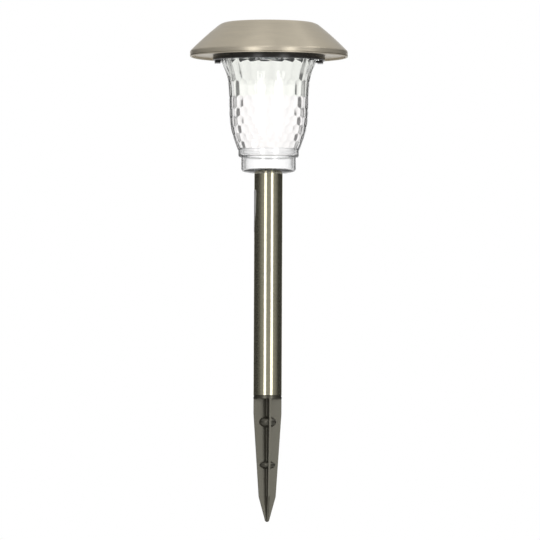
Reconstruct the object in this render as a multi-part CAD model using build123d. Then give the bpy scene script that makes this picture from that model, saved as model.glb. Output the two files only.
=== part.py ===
from build123d import *

import os
from math import cos, radians, sin

# A solar garden light: ground stake, steel pole, clear collar and bell lens, and a steel cap that
# holds the solar panel, battery and lamp. Millimetres, +Z up. The origin is on the pole's axis at
# the ground line, which is the underside of the stake's flange. The cross blades lie along X and Y.

# Clearances
SEAT_GAP = 0.05        # between two flat faces that rest on each other
PUSH_FIT = 0.05        # radial, a plug or spigot in the pole
FREE_GAP = 0.3         # beside a piece that moves or drops in

# Ground stake
FLANGE_RADIUS = 12.5
FLANGE_THICKNESS = 1.9
NECK_HEIGHT = 1.1
NECK_SETBACK = 0.35    # the neck under the pole is narrower than the pole by this
PLUG_LENGTH = 30.0
PLUG_RIB_THICKNESS = 3.0
PLUG_CORE_RADIUS = 4.5
BLADE_SETBACK = 0.1    # blade edge inside the flange's edge
BLADE_THICKNESS = 1.8
BLADE_SHOULDER_DEPTH = 13.0
BLADE_TAPER_DEPTH = 86.0
BLADE_TAPER_RADIUS = 7.5
STAKE_DEPTH = 108.1
STAKE_TIP_RADIUS = 1.9
CORE_RADIUS = 2.2
WEB_REACH = 0.3        # how far a web's disc stands out of its rounded boss
WEB_THICKNESS = 0.8
# Webs between the blades: depth of the disc, boss radius, boss half height
WEBS = ((20.2, 7.5, 5.2), (58.1, 6.9, 3.7))

# Pole
TUBE_RADIUS = 12.5
TUBE_WALL = 0.6
TUBE_LENGTH = 195.2

# Blank label film round the back of the pole
LABEL_HEIGHT = 37.0
LABEL_BELOW_TOP = 14.2
LABEL_THICKNESS = 0.1
LABEL_GAP = 0.02
LABEL_START_ANGLE = 100.0
LABEL_ARC = 100.0

# Clear collar between the pole and the lens
COLLAR_LOWER_RADIUS = 24.1
COLLAR_LOWER_HEIGHT = 14.4
COLLAR_UPPER_RADIUS = 26.7
COLLAR_UPPER_HEIGHT = 6.7
COLLAR_WALL = 2.2
COLLAR_FLOOR = 3.6
COLLAR_SEAT_LIP = 1.0   # flat seat past the pole
COLLAR_FOOT_RISE = 2.2  # from the flat seat up to the wall
COLLAR_FOOT_ROUND = 1.5
COLLAR_STEP_ROUND = 1.0
CUP_WALL = 1.5         # collar's wall round the lens foot
SPIGOT_LENGTH = 22.0
SPIGOT_WALL = 1.6

# Bell lens: height above its foot and outer radius
LENS_PROFILE = (
    (0.0, 27.2),
    (10.2, 31.0),
    (20.9, 33.7),
    (39.0, 34.9),
    (57.4, 35.8),
    (67.9, 37.9),
    (79.8, 42.6),
)
LENS_RIM_RADIUS = 43.2
LENS_HEIGHT = 82.2
LENS_WALL = 2.0
LENS_FOOT_DEPTH = 4.3
LENS_FOOT_GAP = 0.1    # radial, lens foot in the collar's cup

# Bayonet: two tabs on the lens, two hooks on the housing
BAYONET_ANGLE = -12.0
BAYONET_COUNT = 2
LOCK_TURN = 24.0
TAB_DEPTH = 3.0        # top of a tab below the lens rim
TAB_THICKNESS = 1.2
TAB_REACH = 3.1        # tab past the lens rim
TAB_HALF_ARC = 6.0
HOOK_HALF_ARC = 8.0
HOOK_STOP_ARC = 1.5
HOOK_LEDGE = 1.5
HOOK_WALL = 1.3

# Seal ring between the lens and the housing
SEAL_WIDTH = 2.4
SEAL_THICKNESS = 1.0

# Steel cap and its underplate
CAP_RADIUS = 69.5
CAP_HEIGHT = 28.9      # crown above the underplate's lower face
CAP_SHEET = 0.7
CROWN_CORNER_RADIUS = 40.9
RIM_CORNER_HEIGHT = 3.4
FLANK_BULGE = 0.5
SHOULDER_ROUND = 14.0
RIM_ROUND = 2.4
CAP_SEAM = 0.5         # open seam between the dome's hem and the rolled edge
ROLL_RADIUS = 0.9
ROLL_DROP = 0.85       # rolled edge below the underplate's lower face
UNDERPLATE_THICKNESS = 0.6
UNDERPLATE_RISE = 0.2  # underplate above the housing plate's lower face

# Black housing under the cap
HOUSING_PLATE = 2.2
HOUSING_FLANGE = 1.75
SKIRT_WALL = 2.8
SKIRT_DROP = 4.9
SKIRT_ROUND = 0.8
MOUTH_GAP = 0.4        # radial, lens rim in the housing's mouth
HUB_WALL = 1.5
HUB_GAP = 0.5          # radial, hub in the underplate's hole

# Silver reflector under the housing
DISC_MARGIN = 2.7      # disc's edge inside the lens mouth
DISC_THICKNESS = 0.4
DISH_RADIUS = 7.4
DISH_DEPTH = 4.0
DISH_WALL = 0.8

# Battery (AAA) and its bay
BATTERY_RADIUS = 5.25
BATTERY_LENGTH = 44.5
NUB_RADIUS = 1.9
NUB_HEIGHT = 1.0
SLEEVE_THICKNESS = 0.12
BATTERY_Y = -17.0
BAY_LENGTH = 50.0
BAY_WALL = 1.5
BAY_SIDE_GAP = 0.6
BAY_LIFT = 1.4         # battery above the housing plate's lower face
CONTACT_THICKNESS = 0.4
CONTACT_SIZE = 9.0
TAIL_WIDTH = 3.0
TAIL_RISE = 3.2
SPRING_RADIUS = 3.2
SPRING_WIRE = 0.5
SPRING_TURNS = 3

# Battery door
DOOR_THICKNESS = 1.6
DOOR_MARGIN = 1.2      # door past the opening on each side
DOOR_RIM_HEIGHT = 1.1
DOOR_RIM_WALL = 1.0
HINGE_RADIUS = 1.2
HINGE_PIN_RADIUS = 0.9
HINGE_PIN_GAP = 0.06
HINGE_HALF_LENGTH = 17.6
EAR_THICKNESS = 2.4
EAR_WALL = 0.6
FINGER_TAB = 8.0

# Panel tray, set in the cap's square window
WINDOW_SIZE = 46.2
WINDOW_RECESS = 1.0    # pan pressed into the crown round the window
TRAY_GAP = 0.3
TRAY_WALL = 1.4
TRAY_LIP = 0.9         # lip past the window on each side
TRAY_LIP_THICKNESS = 0.75
TRAY_CORNER_ROUND = 2.6
TRAY_DEPTH = 6.0
TRAY_LEDGE = 2.0
TRAY_LEDGE_THICKNESS = 1.0
TRAY_LEDGE_DROP = 3.0  # ledge's upper face below the pan
GASKET_THICKNESS = 0.4
POST_RADIUS = 3.2
POST_INSET = 3.8       # post's axis inside the tray's outer face
POST_FRONT_Y = -4.0    # the front pair stands clear of the battery bay

# Solar laminate in the tray
BACKING_THICKNESS = 1.0
LAMINATE_GAP = 0.2
CELL_COUNT = 4
CELL_SPACING = 0.8
CELL_BORDER = 1.2
CELL_THICKNESS = 0.3
RIBBON_WIDTH = 1.0
RIBBON_THICKNESS = 0.1
RIBBON_OFFSET = 10.0
COVER_RECESS = 0.3     # clear cover below the tray's lip

# Screws
SCREW_RADIUS = 1.25
SCREW_HEAD_RADIUS = 2.7
SCREW_HEAD_HEIGHT = 1.6
SCREW_LENGTH = 11.0
SCREW_HOLE_GAP = 0.35
PILOT_GAP = 0.05
DRIVE_WIDTH = 0.7
DRIVE_LENGTH = 2.8
DRIVE_DEPTH = 0.9

# Circuit board
BOARD_SIZE = (29.6, 22.5)
BOARD_CENTRE_Y = 2.8
BOARD_THICKNESS = 1.6
BOARD_RISE = 3.0       # board above the housing plate's upper face
STANDOFF_RADIUS = 2.3
STANDOFF_PLACES = ((-11.5, 10.5), (11.5, -5.0))
BOARD_SCREW_RADIUS = 0.9
BOARD_SCREW_LENGTH = 4.0
BOARD_SCREW_HEAD_RADIUS = 1.95
CHIP_PLACE = (-7.0, 1.5)
CHIP_SIZE = (5.0, 4.0, 1.6)
CHIP_LEG = 0.5
CHIP_LEG_REACH = 1.0
CHIP_LEG_PITCH = 1.27
CHIP_LEG_ROWS = 4
COIL_PLACE = (7.5, 6.5)
COIL_RADIUS = 3.2
COIL_WAIST_RADIUS = 2.2
COIL_HEIGHT = 5.0
COIL_CHEEK = 0.9
CAPACITOR_PLACE = (-3.0, 10.0)
CAPACITOR_RADIUS = 2.0
CAPACITOR_HEIGHT = 5.0

# Lamp
LED_RADIUS = 2.5
LED_LENGTH = 8.6
LED_FLANGE_RADIUS = 2.9
LED_FLANGE = 1.0
LED_RISE = 0.2         # LED's base above the housing plate's upper face
LED_HOLE_GAP = 0.2
LEAD_THICKNESS = 0.5
LEAD_SPACING = 2.54

# Slide switch
SWITCH_Y = 26.0
SWITCH_BODY = (10.0, 5.6, 5.4)
SWITCH_TRAVEL = 2.0
KNOB_LENGTH = 2.8
KNOB_WIDTH = 2.0
KNOB_DROP = 1.9        # knob below the housing plate
KNOB_ENTRY = 1.6       # knob stem inside the switch body

# Wires
WIRE_RADIUS = 0.6
WIRE_BEND = 3.0
PANEL_WIRE_TOP = (3.0, -3.0)
PANEL_WIRE_FOOT = (10.5, 3.0)
BATTERY_WIRE_FOOT = (13.2, -7.4)

# Radii round the lens mouth and foot
tab_radius = LENS_RIM_RADIUS + TAB_REACH
skirt_inner = tab_radius + FREE_GAP
housing_radius = skirt_inner + SKIRT_WALL
mouth_radius = LENS_RIM_RADIUS + MOUTH_GAP
hub_radius = mouth_radius + HUB_WALL
disc_radius = LENS_RIM_RADIUS - LENS_WALL - DISC_MARGIN
cup_radius = COLLAR_UPPER_RADIUS - CUP_WALL
foot_radius = cup_radius - LENS_FOOT_GAP

# Heights up the axis
neck_top = FLANGE_THICKNESS + NECK_HEIGHT
tube_foot = neck_top + SEAT_GAP
tube_top = tube_foot + TUBE_LENGTH
tube_bore = TUBE_RADIUS - TUBE_WALL
collar_foot = tube_top + SEAT_GAP
collar_step = collar_foot + COLLAR_LOWER_HEIGHT
collar_top = collar_step + COLLAR_UPPER_HEIGHT
lens_foot = collar_top + SEAT_GAP
lens_rim = lens_foot + LENS_HEIGHT
seal_foot = lens_rim + SEAT_GAP
plate_bottom = seal_foot + SEAL_THICKNESS + SEAT_GAP
plate_top = plate_bottom + HOUSING_PLATE
underplate_bottom = plate_bottom + UNDERPLATE_RISE
flange_bottom = underplate_bottom - HOUSING_FLANGE
skirt_bottom = plate_bottom - SKIRT_DROP
roll_top = underplate_bottom - ROLL_DROP
cap_hem = roll_top + CAP_SEAM
crown = underplate_bottom + CAP_HEIGHT
pan_floor = crown - WINDOW_RECESS
tab_top = lens_rim - TAB_DEPTH
tab_bottom = tab_top - TAB_THICKNESS
hook_top = tab_bottom - FREE_GAP
hook_bottom = hook_top - HOOK_LEDGE

# Battery bay
bay_half_length = BAY_LENGTH / 2
bay_half_width = BATTERY_RADIUS + BAY_SIDE_GAP
battery_axis = plate_bottom + BAY_LIFT + BATTERY_RADIUS
bay_ceiling = battery_axis + BATTERY_RADIUS + BAY_SIDE_GAP
bay_roof = bay_ceiling + BAY_WALL
battery_end = bay_half_length - CONTACT_THICKNESS - SEAT_GAP * 2
battery_start = battery_end - BATTERY_LENGTH

# Battery door, closed
door_top = plate_bottom - FREE_GAP
door_bottom = door_top - DOOR_THICKNESS
door_half_length = bay_half_length + DOOR_MARGIN
door_outer_y = BATTERY_Y - bay_half_width - DOOR_MARGIN
hinge_z = plate_bottom - FREE_GAP - HINGE_RADIUS
ear_half = HINGE_PIN_RADIUS + HINGE_PIN_GAP + EAR_WALL
door_inner_y = BATTERY_Y + bay_half_width - DOOR_RIM_WALL / 2
hinge_y = door_inner_y + ear_half + FREE_GAP

# Panel tray
tray_half = WINDOW_SIZE / 2 - TRAY_GAP
tray_inner_half = tray_half - TRAY_WALL
lip_half = WINDOW_SIZE / 2 + TRAY_LIP
pan_half = lip_half + TRAY_GAP
lip_bottom = pan_floor + GASKET_THICKNESS + SEAT_GAP * 2
lip_top = lip_bottom + TRAY_LIP_THICKNESS
ledge_top = pan_floor - TRAY_LEDGE_DROP
post_x = tray_half - POST_INSET
post_places = [(x, y) for y in (post_x, POST_FRONT_Y) for x in (-post_x, post_x)]
laminate_half = tray_inner_half - LAMINATE_GAP
backing_bottom = ledge_top + SEAT_GAP
cell_bottom = backing_bottom + BACKING_THICKNESS
ribbon_bottom = cell_bottom + CELL_THICKNESS
cover_bottom = ribbon_bottom + RIBBON_THICKNESS
cover_top = lip_top - COVER_RECESS

# Circuit board and lamp
board_bottom = plate_top + BOARD_RISE
board_top = board_bottom + BOARD_THICKNESS
led_base = plate_top + LED_RISE
disc_bottom = plate_bottom - SEAT_GAP - DISC_THICKNESS


def disc(radius, low, high):
    """Upright cylinder on the axis between two heights."""
    return extrude(Pos(0, 0, low) * Circle(radius), high - low)


def tube(outer, inner, low, high):
    """Upright tube on the axis."""
    return disc(outer, low, high) - disc(inner, low, high)


def post(place, radius, low, high):
    """Upright cylinder at a place in plan."""
    return Pos(place[0], place[1], 0) * disc(radius, low, high)


def block(x, y, z):
    """Box from three (low, high) pairs."""
    size = [high - low for low, high in (x, y, z)]
    centre = [(low + high) / 2 for low, high in (x, y, z)]
    return Pos(*centre) * Box(*size)


def square(half, low, high, corner=0.0):
    """Upright square prism on the axis, with rounded corners if asked."""
    outline = RectangleRounded(2 * half, 2 * half, corner) if corner else Rectangle(2 * half, 2 * half)
    return extrude(Pos(0, 0, low) * outline, high - low)


def rod(x, y, z, radius):
    """Round rod along X over a (low, high) pair, at one y and z."""
    return Pos(0, y, z) * Rot(0, 90, 0) * disc(radius, *x)


def turned(outline, arc=360.0, start=0.0):
    """Turns a closed outline of (radius, height) about Z."""
    return Rot(0, 0, start) * revolve(make_face(Plane.XZ * outline), Axis.Z, revolution_arc=arc)


def sector(inner, outer, low, high, start, arc):
    """Piece of an upright tube between two angles."""
    outline = Polyline((inner, low), (outer, low), (outer, high), (inner, high), close=True)
    return turned(outline, arc, start)


def blade_pair():
    """Two opposite stake blades in one flat plate: straight, then tapered, then the point."""
    edge = FLANGE_RADIUS - BLADE_SETBACK
    tip = -STAKE_DEPTH + STAKE_TIP_RADIUS
    shape = Polyline(
        (0, 0),
        (edge, 0),
        (edge, -BLADE_SHOULDER_DEPTH),
        (BLADE_TAPER_RADIUS, -BLADE_TAPER_DEPTH),
        (STAKE_TIP_RADIUS, tip),
    )
    nose = ThreePointArc(
        (STAKE_TIP_RADIUS, tip),
        (STAKE_TIP_RADIUS * cos(radians(45)), tip - STAKE_TIP_RADIUS * sin(radians(45))),
        (0, -STAKE_DEPTH),
    )
    half = make_face(Plane.XZ * (shape + nose + Line((0, -STAKE_DEPTH), (0, 0))))
    plate = extrude(half, BLADE_THICKNESS / 2, both=True)
    return plate + mirror(plate, Plane.YZ)


def web(radius, half_height):
    """Rounded boss that ties the blades together, with a thin disc round its middle."""
    bulge = EllipticalCenterArc((0, 0), radius, half_height, start_angle=-90, arc_size=180)
    boss = turned(bulge + Line((0, half_height), (0, -half_height)))
    return boss + disc(radius + WEB_REACH, -WEB_THICKNESS / 2, WEB_THICKNESS / 2)


def ground_stake():
    """Cross-bladed stake with its flange, and the ribbed plug that the pole stands on."""
    plug_radius = tube_bore - PUSH_FIT
    plug_top = neck_top + PLUG_LENGTH
    blades = blade_pair()
    stake = blades + Rot(0, 0, 90) * blades
    stake += disc(FLANGE_RADIUS, 0, FLANGE_THICKNESS)
    stake += disc(TUBE_RADIUS - NECK_SETBACK, FLANGE_THICKNESS, neck_top)
    stake += disc(PLUG_CORE_RADIUS, neck_top, plug_top)
    for turn in (0, 90):
        half = PLUG_RIB_THICKNESS / 2
        rib = block((-plug_radius, plug_radius), (-half, half), (neck_top, plug_top))
        stake += (Rot(0, 0, turn) * rib) & disc(plug_radius, neck_top, plug_top)
    stake += disc(CORE_RADIUS, -BLADE_TAPER_DEPTH, 0)
    for depth, radius, half_height in WEBS:
        stake += Pos(0, 0, -depth) * web(radius, half_height)
    return stake


def pole_tube():
    """Thin steel tube."""
    return tube(TUBE_RADIUS, tube_bore, tube_foot, tube_top)


def pole_label():
    """Blank film wrapped part of the way round the pole."""
    inner = TUBE_RADIUS + LABEL_GAP
    high = tube_top - LABEL_BELOW_TOP
    return sector(inner, inner + LABEL_THICKNESS, high - LABEL_HEIGHT, high, LABEL_START_ANGLE, LABEL_ARC)


def lens_collar():
    """Stepped clear cup with a hollow spigot that plugs into the pole."""
    spigot_radius = tube_bore - PUSH_FIT
    lower = turned(Polyline(
        (0, collar_foot),
        (TUBE_RADIUS + COLLAR_SEAT_LIP, collar_foot),
        (COLLAR_LOWER_RADIUS, collar_foot + COLLAR_FOOT_RISE),
        (COLLAR_LOWER_RADIUS, collar_step),
        (0, collar_step),
        close=True,
    ))
    lower = fillet(lower.edges().filter_by(GeomType.CIRCLE).group_by(Axis.Z)[1], COLLAR_FOOT_ROUND)
    upper = disc(COLLAR_UPPER_RADIUS, collar_step, collar_top)
    upper = fillet(upper.edges().group_by(Axis.Z)[0], COLLAR_STEP_ROUND)
    collar = lower + upper
    collar += disc(spigot_radius, collar_foot - SPIGOT_LENGTH, collar_foot)
    collar -= disc(COLLAR_LOWER_RADIUS - COLLAR_WALL, collar_foot + COLLAR_FLOOR, collar_top)
    collar -= disc(cup_radius, collar_top - LENS_FOOT_DEPTH - SEAT_GAP, collar_top)
    collar -= disc(spigot_radius - SPIGOT_WALL, collar_foot - SPIGOT_LENGTH, collar_foot)
    return collar


def lens():
    """Bell-shaped clear shell with a foot below and two bayonet tabs at the mouth."""
    outer = [(radius, lens_foot + height) for height, radius in LENS_PROFILE]
    inner = [(radius - LENS_WALL, height) for radius, height in reversed(outer)]
    foot_low = lens_foot - LENS_FOOT_DEPTH
    foot_inner = foot_radius - LENS_WALL
    mouth_inner = LENS_RIM_RADIUS - LENS_WALL
    outline = (
        Spline(*outer)
        + Line(outer[-1], (LENS_RIM_RADIUS, lens_rim))
        + Line((LENS_RIM_RADIUS, lens_rim), (mouth_inner, lens_rim))
        + Line((mouth_inner, lens_rim), inner[0])
        + Spline(*inner)
        + Polyline(inner[-1], (foot_inner, lens_foot), (foot_inner, foot_low), (foot_radius, foot_low),
                   (foot_radius, lens_foot), outer[0])
    )
    shell = turned(outline)
    for angle in bayonet_angles(-LOCK_TURN):
        shell += sector(LENS_RIM_RADIUS - LENS_WALL / 2, tab_radius, tab_bottom, tab_top,
                        angle - TAB_HALF_ARC, 2 * TAB_HALF_ARC)
    return shell


def bayonet_angles(offset):
    """Directions of the bayonet's tabs or hooks."""
    return [BAYONET_ANGLE + offset + 360.0 * index / BAYONET_COUNT for index in range(BAYONET_COUNT)]


def lens_seal():
    """Flat rubber ring on the lens rim."""
    return tube(LENS_RIM_RADIUS, LENS_RIM_RADIUS - SEAL_WIDTH, seal_foot, seal_foot + SEAL_THICKNESS)


def cap_outline(inset):
    """Solid profile of the cap, drawn inwards by an inset, down to the underplate's lower face."""
    top = crown - inset
    edge = CAP_RADIUS - inset
    corner = (CROWN_CORNER_RADIUS - inset / 2, top)
    rim = (edge, underplate_bottom + RIM_CORNER_HEIGHT)
    middle = ((corner[0] + rim[0]) / 2 + FLANK_BULGE, (corner[1] + rim[1]) / 2 + FLANK_BULGE)
    outline = (
        Line((0, cap_hem), (0, top))
        + Line((0, top), corner)
        + ThreePointArc(corner, middle, rim)
        + Polyline(rim, (edge, cap_hem), (0, cap_hem))
    )
    face = make_face(Plane.XZ * outline)
    points = face.vertices()
    shoulder = points.sort_by_distance(Vector(corner[0], 0, corner[1]))[0]
    face = fillet(shoulder, SHOULDER_ROUND - inset)
    lower = face.vertices().sort_by_distance(Vector(rim[0], 0, rim[1]))[0]
    return fillet(lower, RIM_ROUND - inset)


def cap_dome():
    """Spun steel cap with a square pan and window pressed into its crown."""
    shell = revolve(cap_outline(0.0), Axis.Z) - revolve(cap_outline(CAP_SHEET), Axis.Z)
    corner = TRAY_CORNER_ROUND + TRAY_GAP
    pan = square(pan_half + CAP_SHEET, pan_floor - CAP_SHEET, crown, corner + CAP_SHEET)
    hollow = square(pan_half, pan_floor, crown, corner)
    return shell + pan - hollow - square(WINDOW_SIZE / 2, pan_floor - CAP_SHEET, crown)


def cap_underplate():
    """Steel ring that closes the cap from below, with its edge rolled round under the cap's hem."""
    low = underplate_bottom + SEAT_GAP
    high = low + UNDERPLATE_THICKNESS
    centre = CAP_RADIUS - ROLL_RADIUS
    inner = centre - ROLL_RADIUS
    wall = inner + CAP_SHEET
    edge = CAP_RADIUS - CAP_SHEET
    roll_low = roll_top - ROLL_RADIUS
    roll = (
        ThreePointArc((CAP_RADIUS, roll_top), (centre, roll_low), (inner, roll_top))
        + Polyline((inner, roll_top), (inner, high), (wall, high), (wall, roll_top))
        + ThreePointArc((wall, roll_top), (centre, roll_low + CAP_SHEET), (edge, roll_top))
        + Line((edge, roll_top), (CAP_RADIUS, roll_top))
    )
    return tube(wall, hub_radius + HUB_GAP, low, high) + turned(roll)


def hook(angle):
    """Bayonet hook that hangs from the housing's skirt: wall, ledge and end stop."""
    outer = skirt_inner + HOOK_WALL
    inner = LENS_RIM_RADIUS
    start = angle - HOOK_HALF_ARC
    arc = 2 * HOOK_HALF_ARC
    wall = sector(skirt_inner, outer, hook_bottom, flange_bottom, start, arc)
    ledge = sector(inner, outer, hook_bottom, hook_top, start, arc)
    stop = sector(inner, outer, hook_bottom, flange_bottom, start + arc - HOOK_STOP_ARC, HOOK_STOP_ARC)
    return wall + ledge + stop


def hinge_ears():
    """Two round-ended ears under the housing plate that take the door's hinge pins."""
    centre = HINGE_HALF_LENGTH + FREE_GAP + EAR_THICKNESS / 2
    ears = []
    for side in (-1, 1):
        x = (side * centre - EAR_THICKNESS / 2, side * centre + EAR_THICKNESS / 2)
        ear = block(x, (hinge_y - ear_half, hinge_y + ear_half), (hinge_z, plate_bottom))
        ears.append(ear + rod(x, hinge_y, hinge_z, ear_half))
    return ears


def housing_base():
    """Black housing: plate, flange, skirt with hooks, battery bay, standoffs and door ears."""
    base = disc(hub_radius, plate_bottom, plate_top)
    base += tube(housing_radius, mouth_radius, flange_bottom, underplate_bottom - SEAT_GAP)
    skirt = tube(housing_radius, skirt_inner, skirt_bottom, flange_bottom)
    skirt = fillet(skirt.edges().group_by(Axis.Z)[0].sort_by(SortBy.LENGTH)[-1], SKIRT_ROUND)
    base += skirt
    for angle in bayonet_angles(0.0):
        base += hook(angle)
    outer_x = (-bay_half_length - BAY_WALL, bay_half_length + BAY_WALL)
    outer_y = (BATTERY_Y - bay_half_width - BAY_WALL, BATTERY_Y + bay_half_width + BAY_WALL)
    base += block(outer_x, outer_y, (plate_bottom, bay_roof))
    base -= block((-bay_half_length, bay_half_length),
                  (BATTERY_Y - bay_half_width, BATTERY_Y + bay_half_width), (plate_bottom, bay_ceiling))
    for side in (-1, 1):
        base -= tail_slot(side)
    for place in STANDOFF_PLACES:
        base += post(place, STANDOFF_RADIUS, plate_top, board_bottom - SEAT_GAP)
        base -= post(place, BOARD_SCREW_RADIUS + PILOT_GAP, plate_bottom + SEAT_GAP, board_bottom)
    for place in post_places:
        base -= post(place, SCREW_RADIUS + SCREW_HOLE_GAP, plate_bottom, plate_top)
    base -= disc(LED_RADIUS + LED_HOLE_GAP, plate_bottom, plate_top)
    base -= disc(LED_FLANGE_RADIUS + LED_HOLE_GAP, led_base - LED_FLANGE - SEAT_GAP, plate_top)
    base -= switch_slot(plate_bottom, plate_top)
    for ear in hinge_ears():
        base += ear
    pin_hole = HINGE_PIN_RADIUS + HINGE_PIN_GAP
    reach = HINGE_HALF_LENGTH + EAR_THICKNESS + 2 * FREE_GAP
    base -= rod((-reach, reach), hinge_y, hinge_z, pin_hole)
    return base


def tail_slot(side):
    """Slot in the bay's roof for a contact's solder tail."""
    centre = side * (bay_half_length - CONTACT_THICKNESS / 2 - SEAT_GAP)
    half = CONTACT_THICKNESS / 2 + FREE_GAP
    x = (centre - half, centre + half)
    return block(x, (BATTERY_Y - TAIL_WIDTH / 2 - FREE_GAP, BATTERY_Y + TAIL_WIDTH / 2 + FREE_GAP),
                 (battery_axis, bay_roof))


def switch_slot(low, high):
    """Slot that the switch knob travels in."""
    half = (KNOB_LENGTH + SWITCH_TRAVEL) / 2 + FREE_GAP
    width = KNOB_WIDTH / 2 + FREE_GAP
    return block((-half, half), (SWITCH_Y - width, SWITCH_Y + width), (low, high))


def reflector_disc():
    """Thin silver disc under the housing plate, cut out round the door, screws and switch."""
    sheet = disc(disc_radius, disc_bottom, disc_bottom + DISC_THICKNESS)
    margin = 2 * FREE_GAP
    sheet -= block((-door_half_length - margin, door_half_length + margin),
                   (-disc_radius, hinge_y + ear_half + margin), (disc_bottom, plate_bottom))
    sheet -= disc(LED_RADIUS + DISH_WALL + FREE_GAP, disc_bottom, plate_bottom)
    for place in post_places:
        sheet -= post(place, SCREW_HEAD_RADIUS + FREE_GAP, disc_bottom, plate_bottom)
    return sheet - switch_slot(disc_bottom, plate_bottom)


def led_dish():
    """Bright dish round the lamp."""
    high = disc_bottom - SEAT_GAP
    low = high - DISH_DEPTH
    neck = LED_RADIUS + FREE_GAP
    outline = Polyline(
        (neck, high),
        (neck + DISH_WALL, high),
        (DISH_RADIUS, low),
        (DISH_RADIUS - DISH_WALL, low),
        (neck, high - DISH_WALL),
        close=True,
    )
    return turned(outline)


def battery_cell():
    """Steel can with its positive nub, along X."""
    radius = BATTERY_RADIUS - SLEEVE_THICKNESS - SEAT_GAP
    shoulder = battery_end - NUB_HEIGHT
    can = rod((battery_start, shoulder), BATTERY_Y, battery_axis, radius)
    return can + rod((shoulder, battery_end), BATTERY_Y, battery_axis, NUB_RADIUS)


def battery_sleeve():
    """Printed film round the can."""
    x = (battery_start + BAY_SIDE_GAP, battery_end - NUB_HEIGHT - BAY_SIDE_GAP)
    bore = rod(x, BATTERY_Y, battery_axis, BATTERY_RADIUS - SLEEVE_THICKNESS)
    return rod(x, BATTERY_Y, battery_axis, BATTERY_RADIUS) - bore


def contact_plate(side):
    """Sprung steel plate at one end of the bay, with a solder tail through the roof."""
    outer = side * (bay_half_length - SEAT_GAP)
    inner = outer - side * CONTACT_THICKNESS
    x = (min(outer, inner), max(outer, inner))
    half = CONTACT_SIZE / 2
    plate = block(x, (BATTERY_Y - half, BATTERY_Y + half), (battery_axis - half, battery_axis + half))
    return plate + block(x, (BATTERY_Y - TAIL_WIDTH / 2, BATTERY_Y + TAIL_WIDTH / 2),
                         (battery_axis, bay_roof + TAIL_RISE))


def contact_spring():
    """Coil between the negative plate and the battery."""
    start = -bay_half_length + CONTACT_THICKNESS + 2 * SEAT_GAP + SPRING_WIRE / 2
    length = battery_start - start - SPRING_WIRE / 2 - SEAT_GAP
    path = Helix(pitch=length / SPRING_TURNS, height=length, radius=SPRING_RADIUS)
    coil = sweep(Plane(path @ 0, z_dir=path % 0) * Circle(SPRING_WIRE / 2), path=path, is_frenet=True)
    return Pos(start, BATTERY_Y, battery_axis) * Rot(0, 90, 0) * coil


def battery_door():
    """Door under the bay, with a rim that enters the opening and hinge pins along one side."""
    door_x = (-door_half_length, door_half_length)
    door = block(door_x, (door_outer_y, door_inner_y), (door_bottom, door_top))
    rim_x = bay_half_length - FREE_GAP
    rim_y = (BATTERY_Y - bay_half_width + FREE_GAP, door_inner_y)
    rim_z = (door_top, door_top + DOOR_RIM_HEIGHT)
    rim = block((-rim_x, rim_x), rim_y, rim_z)
    rim -= block((DOOR_RIM_WALL - rim_x, rim_x - DOOR_RIM_WALL),
                 (rim_y[0] + DOOR_RIM_WALL, rim_y[1] - DOOR_RIM_WALL), rim_z)
    door += rim
    pin_reach = HINGE_HALF_LENGTH + FREE_GAP + EAR_THICKNESS
    door += block((-HINGE_HALF_LENGTH, HINGE_HALF_LENGTH), (door_inner_y - FREE_GAP, hinge_y),
                  (hinge_z - DOOR_THICKNESS / 2, hinge_z + HINGE_RADIUS / 2))
    door += rod((-HINGE_HALF_LENGTH, HINGE_HALF_LENGTH), hinge_y, hinge_z, HINGE_RADIUS)
    door += rod((-pin_reach, pin_reach), hinge_y, hinge_z, HINGE_PIN_RADIUS)
    door += block((-FINGER_TAB / 2, FINGER_TAB / 2), (door_outer_y - DOOR_THICKNESS, door_outer_y),
                  (door_bottom - DOOR_THICKNESS / 2, door_top - DOOR_THICKNESS / 2))
    return door


def panel_tray():
    """Black tray through the cap's window: lip outside, walls and a ledge inside, four posts."""
    low = pan_floor - TRAY_DEPTH
    tray = square(tray_half, low, lip_bottom, TRAY_CORNER_ROUND)
    tray += square(lip_half, lip_bottom, lip_top, TRAY_CORNER_ROUND + TRAY_LIP)
    tray -= square(tray_inner_half, ledge_top, lip_top)
    tray -= square(tray_inner_half - TRAY_LEDGE, low, lip_top)
    tray -= square(tray_inner_half, low, ledge_top - TRAY_LEDGE_THICKNESS)
    for place in post_places:
        tray += post(place, POST_RADIUS, plate_top + SEAT_GAP, ledge_top - TRAY_LEDGE_THICKNESS / 2)
        tray -= post(place, SCREW_RADIUS + PILOT_GAP, plate_top, plate_bottom + SCREW_LENGTH + FREE_GAP)
    return tray


def panel_gasket():
    """Foam frame between the tray's lip and the pan."""
    low = pan_floor + SEAT_GAP
    high = low + GASKET_THICKNESS
    frame = square(lip_half - TRAY_GAP, low, high, TRAY_CORNER_ROUND)
    return frame - square(tray_half + SEAT_GAP, low, high)


def panel_backing():
    """Board behind the cells."""
    return square(laminate_half, backing_bottom, cell_bottom)


def solar_cells():
    """Row of silicon strips with gaps between them."""
    half = laminate_half - CELL_BORDER
    width = (2 * half - CELL_SPACING * (CELL_COUNT - 1)) / CELL_COUNT
    strips = []
    for index in range(CELL_COUNT):
        left = -half + index * (width + CELL_SPACING)
        strips.append(block((left, left + width), (-half, half), (cell_bottom, ribbon_bottom)))
    return strips


def cell_ribbons():
    """Two tinned ribbons across the strips."""
    half = laminate_half - CELL_BORDER / 2
    ribbons = []
    for side in (-1, 1):
        y = side * RIBBON_OFFSET
        ribbons.append(block((-half, half), (y - RIBBON_WIDTH / 2, y + RIBBON_WIDTH / 2),
                             (ribbon_bottom, cover_bottom)))
    return ribbons


def panel_cover():
    """Clear cover over the cells."""
    return square(laminate_half, cover_bottom + SEAT_GAP, cover_top)


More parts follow.
